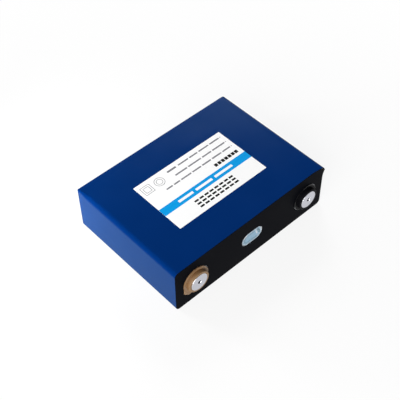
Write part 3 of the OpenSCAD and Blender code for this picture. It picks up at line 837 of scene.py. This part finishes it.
def keyed_outline(terminal, side, extra):
    """Outline of a terminal's flange with its key corner, grown by extra, as points from its axis."""
    flange, half_key = terminal.flange_diameter / 2, terminal.key_width / 2
    tip = math.hypot(terminal.key_reach, half_key)
    key_side = flange - terminal.key_bite
    facing = math.atan2(half_key, terminal.key_reach) + math.acos(key_side / tip)
    middle = terminal.key_angle if side == "negative" else math.pi - terminal.key_angle
    fine_steps = 120
    smoothings = 4
    coarse = [middle + facing + (2 * math.pi - 2 * facing) * i / TURN_STEPS for i in range(TURN_STEPS)]
    fine = [middle + facing * (2 * i / fine_steps - 1) for i in range(fine_steps)]
    points = []
    for angle in coarse + fine:
        turn = angle - middle
        turn = abs(math.atan2(math.sin(turn), math.cos(turn)))
        distance = flange + extra
        if turn < facing:
            flank = (key_side + extra) / math.cos(facing - turn)
            distance = max(distance, min(flank, (terminal.key_reach + extra) / math.cos(turn)))
        points.append(Vector((distance * math.cos(angle), distance * math.sin(angle))))
    for _ in range(smoothings):
        points = [(points[i - 1] + 2 * point + points[(i + 1) % len(points)]) / 4
                  for i, point in enumerate(points)]
    return points


def terminal_centre(side):
    """Middle of a terminal disc."""
    low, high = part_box(f"{side}_disc")
    return (low + high) / 2


def sheet_outlines(terminal, wrap):
    """Edge of the cover sheet and its three windows, as (across, up) pairs from its middle."""
    window_gap = 0.3 * MM
    inset = sheet_low.x + HALF_W
    outlines = [rounded_ring(HALF_W - inset, HALF_T - inset, wrap.edge_radius - inset, {0: LOOSE_RADIUS})]
    for side in SIDES:
        centre = terminal_centre(side)
        shift = Vector((centre.x, centre.z - MID_Z))
        outlines.append([tuple(point + shift) for point in keyed_outline(terminal, side, window_gap)])
    vent_low, vent_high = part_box("vent_film")
    half_l = (vent_high.x - vent_low.x) / 2 + window_gap
    half_w = (vent_high.z - vent_low.z) / 2 + window_gap
    outlines.append(rounded_ring(half_l, half_w, half_w))
    return outlines


def cut_sheet(outlines):
    """Sheet with soft edges that lies on the lid, filled between its edge and its windows."""
    edge = 0.08 * MM
    curve = bpy.data.curves.new("cover_sheet_outline", "CURVE")
    curve.dimensions = "2D"
    curve.fill_mode = "BOTH"
    curve.extrude = SHEET / 2 - edge
    curve.bevel_depth = edge
    curve.bevel_resolution = 2
    curve.offset = -edge
    for outline in outlines:
        spline = curve.splines.new("POLY")
        spline.points.add(len(outline) - 1)
        spline.use_cyclic_u = True
        for point, (u, v) in zip(spline.points, outline):
            point.co = (u, v, 0, 1)
    mesh = evaluated_mesh(new_object("cover_sheet_outline", curve))
    stand = Matrix.Translation((0, FACE_Y + SHEET / 2, MID_Z)) @ Matrix.Rotation(math.pi / 2, 4, "X")
    bm = bmesh.new()
    bm.from_mesh(mesh)
    bmesh.ops.transform(bm, matrix=stand, verts=bm.verts)
    bmesh.ops.remove_doubles(bm, verts=bm.verts, dist=MERGE_GAP)
    return bm


class CELL_OT_cover_sheet(Operator):
    """Lay the black sheet on the lid, with windows for the terminals and the vent."""
    bl_idname = "cell.build_cover_sheet"
    bl_label = "Cover sheet"

    def execute(self, context):
        bm = cut_sheet(sheet_outlines(context.scene.cell_terminal, context.scene.cell_wrap))
        lift_corner(bm, LOOSE_LIFT)
        mesh = closed_mesh("black_sheet", bm)
        place_piece("black_sheet", mesh, black_sheet_plastic(), "black_sheet", "cover_sheet")
        # Keeps the rounded cut edge out of the shading of the flat face
        mesh.set_sharp_from_angle(angle=SHEET_ANGLE)
        return {"FINISHED"}


# Terminals

def round_rings(centre, profile):
    """Rings of a turned piece from (radius, rise) pairs."""
    turns = [2 * math.pi * i / TURN_STEPS for i in range(TURN_STEPS)]
    return [[(centre.x + radius * math.cos(turn), FACE_Y - rise, centre.z + radius * math.sin(turn))
             for turn in turns] for radius, rise in profile]


class CELL_OT_discs(Operator):
    """Turn the two terminal discs, each with a locating hole."""
    bl_idname = "cell.build_discs"
    bl_label = "Terminal discs"

    def execute(self, context):
        terminal = context.scene.cell_terminal
        # The hole's wall and floor are dull and painted dark as shade; the edges are a brighter metal,
        # partly burnished and partly a painted highlight
        drilled_and_shaded = rolled_metal("aluminium_drilled_painted_shade", "#676870", roughness=0.5)
        burnished_and_highlighted = rolled_metal("aluminium_burnished_painted_highlight", "#f5f6fd", roughness=0.28)
        edge = terminal.disc_edge
        hole = terminal.locating_diameter / 2
        mouth, lip = 0.2 * MM, 0.3 * MM
        socket_r, socket_h = 3.55 * MM, 0.95 * MM
        # Share of its normal along Y from which a face counts as flat
        flat = 0.98
        for side in SIDES:
            low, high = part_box(f"{side}_disc")
            centre = (low + high) / 2
            radius = (high.x - low.x) / 2
            top, base = FACE_Y - low.y, FACE_Y - high.y
            floor = top - terminal.locating_depth
            profile = [(0, base + socket_h), (socket_r, base + socket_h), (socket_r, base), (radius, base)]
            profile += quarter_round(radius - edge, top - edge, edge, 0, 90)
            profile += [(radius - edge - HOLD, top), (hole + mouth + HOLD, top), (hole + mouth, top)]
            profile += [(hole, top - lip), (hole, floor), (0, floor)]
            name = f"{side}_terminal_disc"
            mesh = lofted_mesh(name, round_rings(centre, profile))
            metal = turned_aluminium(f"aluminium_turned_{side}", centre)
            place_piece(name, mesh, metal, "bright_aluminium", f"{side}_disc")
            mesh.materials.append(drilled_and_shaded)
            mesh.materials.append(burnished_and_highlighted)
            for face in mesh.polygons:
                away = math.hypot(face.center.x - centre.x, face.center.z - centre.z)
                # Painted shade in the hole
                if away < hole and face.center.y < FACE_Y - floor + MERGE_GAP:
                    face.material_index = 1
                # Brighter edges: partly burnished metal, partly painted highlight
                elif face.center.y < FACE_Y - top + lip and abs(face.normal.y) < flat:
                    face.material_index = 2
        return {"FINISHED"}


def insulator_rings(terminal, side):
    """Rings of a moulded insulator: keyed flange, raised ring and the cup for the disc."""
    disc_low, disc_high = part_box(f"{side}_disc")
    low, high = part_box(f"{side}_outer_insulator")
    centre = (disc_low + disc_high) / 2
    seat, rim = FACE_Y - high.y, FACE_Y - low.y
    cup_floor = FACE_Y - disc_high.y
    fit = 0.05 * MM
    cup = (disc_high.x - disc_low.x) / 2 + fit
    bore = 4.55 * MM
    edge = terminal.edge
    flange = terminal.flange_diameter / 2
    root = terminal.ring_diameter / 2
    crown = root - terminal.ring_draft
    fillet = 0.25 * MM
    lip = 0.15 * MM
    key_ramp = 1.2 * MM
    shoulder_steps = 8
    outline = keyed_outline(terminal, side, 0)
    count = len(outline)
    turned = [Vector((point.y, -point.x)) for point in
              (outline[(i + 1) % count] - outline[i - 1] for i in range(count))]
    outward = [vector.normalized() for vector in turned]
    around = [point.normalized() for point in outline]

    def rise_at(point):
        beyond = (point.length - flange + edge) / key_ramp
        return terminal.flange_rise - terminal.key_drop * smooth_step(beyond)

    def stand(points, rises):
        return [(centre.x + p.x, FACE_Y - rise, centre.z + p.y) for p, rise in zip(points, rises)]

    def circle(radius, rise):
        return stand([radius * unit for unit in around], [rise] * count)

    shoulder = [point - edge * normal for point, normal in zip(outline, outward)]
    tops = [rise_at(point) for point in shoulder]
    rings = [stand(outline, [seat] * count)]
    for out, up in quarter_round(0, 0, edge, 0, 90):
        rings.append(stand([point - (edge - out) * normal for point, normal in zip(outline, outward)],
                           [top - edge + up for top in tops]))
    for step in range(1, shoulder_steps):
        share = step / shoulder_steps
        points = [point.lerp((root + fillet) * unit, share) for point, unit in zip(shoulder, around)]
        rings.append(stand(points, [rise_at(point) for point in points]))
    rounds = quarter_round(root + fillet, terminal.flange_rise + fillet, fillet, 270, 180)
    rounds += quarter_round(crown - edge, rim - edge, edge, 0, 90)
    rounds += quarter_round(cup + lip, rim - lip, lip, 90, 180)
    rounds += [(cup, cup_floor), (bore, cup_floor), (bore, seat)]
    return rings + [circle(out, up) for out, up in rounds]


def painted_root_and_edge_shade(away, rise, terminal):
    """Strength of the painted shade from 0 to 1: most in the root of the ring, some on the flange's edge."""
    root_height, root_width, edge_width = 2.5 * MM, 0.6 * MM, 0.6 * MM
    edge_share, edge_core = 0.5, 1.5
    up = max(rise - terminal.flange_rise, 0) / root_height
    out = max(away - terminal.ring_diameter / 2, 0) / root_width
    from_edge = abs(away - terminal.flange_diameter / 2) / edge_width
    in_root = smooth_step(1 - up) * smooth_step(1 - out)
    return max(in_root, edge_share * smooth_step(edge_core - from_edge))


class CELL_OT_insulators(Operator):
    """Mould the two terminal insulators, each keyed into the lid and cupped round its disc."""
    bl_idname = "cell.build_insulators"
    bl_label = "Terminal insulators"

    def execute(self, context):
        terminal = context.scene.cell_terminal
        # The flange's edge keeps a glossy moulded skin, except where the gate was trimmed off
        trimmed = Vector((-1, 0, 1)).normalized()
        trim_reach, flat = 0.4, 0.95
        finishes = {
            "negative": ("tan", terminal.negative, 0.42, 0.32),
            "positive": ("black", terminal.positive, 0.3, 0.02)}
        for side, (shade, colour, roughness, shine) in finishes.items():
            name = f"{side}_terminal_insulator"
            mesh = lofted_mesh(name, insulator_rings(terminal, side), closed=True)
            plastic = filled_plastic(f"pps_glass_filled_moulded_{shade}", colour, roughness, shine)
            place_piece(name, mesh, plastic, f"{shade}_plastic", f"{side}_outer_insulator")
            glossy = filled_plastic(f"pps_resin_rich_edge_{shade}", colour, roughness=0.15, shine=1.0)
            mesh.materials.append(glossy)
            centre = terminal_centre(side)
            # The attribute skin is painted shade, darkest where the ring rises from the flange
            skin = mesh.attributes.new("skin", "FLOAT", "POINT")
            for vertex, mark in zip(mesh.vertices, skin.data):
                away = math.hypot(vertex.co.x - centre.x, vertex.co.z - centre.z)
                mark.value = painted_root_and_edge_shade(away, FACE_Y - vertex.co.y, terminal)
            for face in mesh.polygons:
                on_rim = 0 < FACE_Y - face.center.y < terminal.flange_rise
                if on_rim and abs(face.normal.y) < flat and face.normal.dot(trimmed) < trim_reach:
                    face.material_index = 1
        return {"FINISHED"}


# Vent

def oval_ring(half_l, half_w, inset):
    """Outline of a round-ended oval as (across, up) pairs, as many on each straight as on each end."""
    straight, radius = half_l - half_w, half_w - inset
    ring = []
    for turn in (1, -1):
        for step in range(OVAL_STEPS):
            angle = math.pi * (step / OVAL_STEPS - 0.5)
            ring.append((turn * (straight + radius * math.cos(angle)), turn * radius * math.sin(angle)))
        for step in range(OVAL_STEPS):
            ring.append((turn * straight * (1 - 2 * step / OVAL_STEPS), turn * radius))
    return ring


def film_glue_and_painted_light(spot, inset, vent):
    """How pale the clear film is at a spot: pale on the glued rim, with painted highlights and painted
    shade.
    """
    # Each painted streak has a start, an end and a half width in millimetres, and how much paler it is;
    # positive ones are painted highlights and a reflected streak, the negative one is painted shade
    painted_light_streaks = (
        ((-9.2, 4.6), (-7.2, 5.7), 1.0, 0.5),
        ((4.2, 4.6), (6.0, -0.4), 0.7, 0.4),
        ((6.4, -1.6), (7.4, -4.2), 1.4, 0.14),
        ((6.4, 5.0), (8.6, -1.0), 1.1, -0.2),
        ((10.6, 3.0), (10.4, -1.0), 1.0, 0.2))
    plain, glued, dip, painted_shade_place, streak_core = 0.45, 0.25, 0.16, 1.6, 1.5
    inward = inset / vent.rim
    # Paler on the glued rim, with a ring of painted shade just inside it
    haze = plain + glued * smooth_step(2 - 2 * inward) - dip * smooth_step(2 - 4 * abs(inward - painted_shade_place))
    for start, end, reach, strength in painted_light_streaks:
        start, end = Vector(start) * MM, Vector(end) * MM
        along = min(max((spot - start).dot(end - start) / (end - start).length_squared, 0), 1)
        away = (spot - start.lerp(end, along)).length
        haze += strength * smooth_step(streak_core - away / (reach * MM))
    return min(max(haze, 0), 1)


def oval_sizes(low, high):
    """Half length, half width, and rises of the base and the top, of an oval that fills a box."""
    return (high.x - low.x) / 2, (high.z - low.z) / 2, FACE_Y - high.y, FACE_Y - low.y


def add_vent_plate(vent):
    """Bursting disc with a flat rim, a dished foil and a score line."""
    half_l, half_w, base, top = oval_sizes(*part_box("vent_disc"))
    foil = top - vent.dish
    edge = 0.15 * MM
    bend = 0.4 * MM
    inner = vent.rim + bend
    groove = inner + 2 * vent.score
    profile = [(0, base), (0, top - edge), (edge, top), (vent.rim - edge, top), (vent.rim, top - edge)]
    profile += [(vent.rim + edge, foil + edge), (inner, foil), (groove - vent.score / 2, foil),
                (groove, foil - vent.score_depth), (groove + vent.score / 2, foil),
                (groove + vent.score, foil)]
    rings = [[on_face(u, rise, v) for u, v in oval_ring(half_l, half_w, inset)] for inset, rise in profile]
    metal = rolled_metal("aluminium_pressed_bright", "#d6dbe2", roughness=0.3)
    place_piece("vent_plate", lofted_mesh("vent_plate", rings), metal, "bright_aluminium", "vent_disc")


def add_vent_film(vent):
    """Clear film glued to the disc's rim, sagging a little over the dish."""
    half_l, half_w, base, top = oval_sizes(*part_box("vent_film"))
    slope = 3 * MM
    ring_count = 20
    insets = [(half_w - HOLD / 2) * step / ring_count for step in range(ring_count + 1)]
    rings = []
    for level, order in ((base, insets[::-1]), (top, insets)):
        for inset in order:
            dip = vent.sag * smooth_step((inset - vent.rim) / slope)
            rings.append([on_face(u, level - dip, v) for u, v in oval_ring(half_l, half_w, inset)])
    mesh = lofted_mesh("vent_cover_film", rings)
    # The attribute haze carries painted highlights and shade, and the paleness of the glued rim
    haze = mesh.attributes.new("haze", "FLOAT", "POINT")
    for vertex, mark in zip(mesh.vertices, haze.data):
        spot = Vector((vertex.co.x, vertex.co.z - MID_Z))
        to_end = Vector((max(abs(spot.x) - half_l + half_w, 0), spot.y))
        mark.value = film_glue_and_painted_light(spot, half_w - to_end.length, vent)
    place_piece("vent_cover_film", mesh, clear_tinted_film(vent.film_colour), "clear_film", "vent_film")


class CELL_OT_vent(Operator):
    """Press the bursting disc and lay its clear film over it."""
    bl_idname = "cell.build_vent"
    bl_label = "Vent"

    def execute(self, context):
        vent = context.scene.cell_vent
        add_vent_plate(vent)
        add_vent_film(vent)
        return {"FINISHED"}


# Pieces inside the can

class CELL_OT_inside(Operator):
    """Give the pieces inside the can their own finishes."""
    bl_idname = "cell.finish_inside"
    bl_label = "Inner pieces"

    def execute(self, context):
        aluminium = rolled_metal("aluminium_deep_drawn", "#b9bcc2", roughness=0.4)
        bright = rolled_metal("aluminium_foil_rolled", "#d2d4d9", roughness=0.3)
        copper = rolled_metal("copper_rolled", "#c8805a", roughness=0.35)
        rubber = soft_polymer("fluoro_rubber_moulded", "#26272b", roughness=0.75, grain_mm=0.8)
        natural = soft_polymer("polypropylene_moulded_natural", "#d9dcdf", roughness=0.5, grain_mm=4.0)
        electrode = wound_electrode()
        finishes = {
            "can": aluminium, "lid": aluminium, "fill_cap": aluminium, "positive_post": aluminium,
            "positive_collector": aluminium, "positive_tabs": bright,
            "negative_post": copper, "negative_collector": copper, "negative_tabs": copper,
            "fill_plug": rubber, "positive_seal": rubber, "negative_seal": rubber,
            "positive_inner_insulator": natural, "negative_inner_insulator": natural,
            "core_tray": natural, "label_side_core": electrode, "base_side_core": electrode,
            "core_tapes": soft_polymer("polyimide_tape_slit", "#3f6fb0", roughness=0.35, grain_mm=2.0),
            "core_bag": soft_polymer("polypropylene_film_blown", "#6fa58f", roughness=0.4, grain_mm=8.0)}
        for name, material in finishes.items():
            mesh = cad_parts[name].data
            mesh.materials.clear()
            mesh.materials.append(material)
        return {"FINISHED"}


# Studio

def add_lamp(name, place, target, size, power):
    """Square soft light that faces the target."""
    lamp = bpy.data.lights.new(name, "AREA")
    lamp.shape = "SQUARE"
    lamp.size = size
    lamp.energy = power
    holder = new_object(name, lamp)
    holder.location = place
    holder.rotation_euler = (Vector(target) - Vector(place)).to_track_quat("-Z", "Y").to_euler()
    return holder


def add_lights(stage):
    """Large key light, rear light for the upper face and a small fill light beside the left face."""
    middle = (0, 0, MID_Z)
    left_rear = (-HALF_W, 0.05, MID_Z)
    add_lamp("key_light", (-2.08, -1.2, 1.04), middle, size=2.3, power=stage.key_power)
    add_lamp("rear_light", (1.08, 1.24, 1.11), middle, size=0.7, power=stage.rear_power)
    fill = add_lamp("fill_light", (-0.16, 0.16, 0.07), left_rear, size=0.06, power=stage.fill_power)
    # So near a light would show as a white spot in the film's gloss
    fill.visible_glossy = False


def add_floor(colour):
    """Square of painted board under the cell."""
    half, shadow_near, shadow_far = 4.0, 0.15, 0.45
    bm = bmesh.new()
    bm.faces.new([bm.verts.new((x * half, y * half, 0)) for x, y in ((-1, -1), (1, -1), (1, 1), (-1, 1))])
    mesh = bpy.data.meshes.new("studio_floor")
    bm.to_mesh(mesh)
    bm.free()
    mesh.materials.append(painted_floor(colour, shadow_near, shadow_far))
    floor = new_object("studio_floor", mesh)


def studio_world():
    """Pale walls that darken towards the ceiling."""
    ceiling = (0, -0.3, 1)
    world = bpy.data.worlds.new("studio")
    world.use_nodes = True
    tree = world.node_tree
    tree.nodes.clear()
    direction = add_node(tree, "ShaderNodeTexCoord", {}).outputs["Generated"]
    height = add_node(tree, "ShaderNodeVectorMath", {"operation": "DOT_PRODUCT", 0: direction, 1: ceiling})
    level = add_node(tree, "ShaderNodeMapRange", {
        "interpolation_type": "SMOOTHSTEP", "Value": height.outputs["Value"],
        "From Min": 0.46, "From Max": 0.6, "To Min": 0.8, "To Max": 0.016})
    walls = add_node(tree, "ShaderNodeBackground", {
        "Color": (1, 1, 1, 1), "Strength": level.outputs["Result"]})
    add_node(tree, "ShaderNodeOutputWorld", {"Surface": walls.outputs["Background"]})
    bpy.context.scene.world = world


class CELL_OT_stage(Operator):
    """Set up the floor, the lights and the camera."""
    bl_idname = "cell.build_stage"
    bl_label = "Studio"

    def execute(self, context):
        stage = context.scene.cell_stage
        add_floor(stage.floor_colour)
        studio_world()
        add_lights(stage)
        lens = bpy.data.cameras.new("photo_camera")
        lens.sensor_width = SENSOR_MM
        lens.lens = stage.lens
        camera = new_object("photo_camera", lens)
        sight = Vector(stage.camera_target) - Vector(stage.camera_place)
        turn = sight.to_track_quat("-Z", "Y") @ Quaternion((0, 0, 1), stage.camera_roll)
        camera.matrix_world = Matrix.Translation(stage.camera_place) @ turn.to_matrix().to_4x4()
        context.scene.camera = camera
        context.scene.view_settings.view_transform = "Standard"
        return {"FINISHED"}


# Sidebar and registration

BUILDERS = (
    CELL_OT_stage, CELL_OT_wrap, CELL_OT_label, CELL_OT_cover_sheet, CELL_OT_discs,
    CELL_OT_insulators, CELL_OT_vent, CELL_OT_inside)
SETTINGS = {
    "cell_wrap": CellWrapSettings, "cell_label": CellLabelSettings,
    "cell_terminal": CellTerminalSettings, "cell_vent": CellVentSettings,
    "cell_stage": CellStageSettings}


class CELL_PT_sidebar(Panel):
    """Lists the cell's settings and the pieces that can be built."""
    bl_idname = "CELL_PT_sidebar"
    bl_label = "Prismatic cell"
    bl_space_type = "VIEW_3D"
    bl_region_type = "UI"
    bl_category = "Cell"

    def draw(self, context):
        for builder in BUILDERS:
            self.layout.operator(builder.bl_idname)
        for group, kind in SETTINGS.items():
            box = self.layout.box()
            for name in kind.__annotations__:
                box.prop(getattr(context.scene, group), name)


def register():
    """Register the settings, the operators and the sidebar."""
    for kind in (*SETTINGS.values(), *BUILDERS, CELL_PT_sidebar):
        bpy.utils.register_class(kind)
    for group, kind in SETTINGS.items():
        setattr(bpy.types.Scene, group, PointerProperty(type=kind))


def unregister():
    """Undo register."""
    for group in SETTINGS:
        delattr(bpy.types.Scene, group)
    for kind in (CELL_PT_sidebar, *reversed(BUILDERS), *reversed(SETTINGS.values())):
        bpy.utils.unregister_class(kind)


def main():
    """Build the whole scene."""
    register()
    bpy.ops.cell.build_stage()
    bpy.ops.cell.build_wrap()
    bpy.ops.cell.build_label()
    bpy.ops.cell.build_cover_sheet()
    bpy.ops.cell.build_discs()
    bpy.ops.cell.build_insulators()
    bpy.ops.cell.build_vent()
    bpy.ops.cell.finish_inside()


if __name__ == "__main__":
    main()
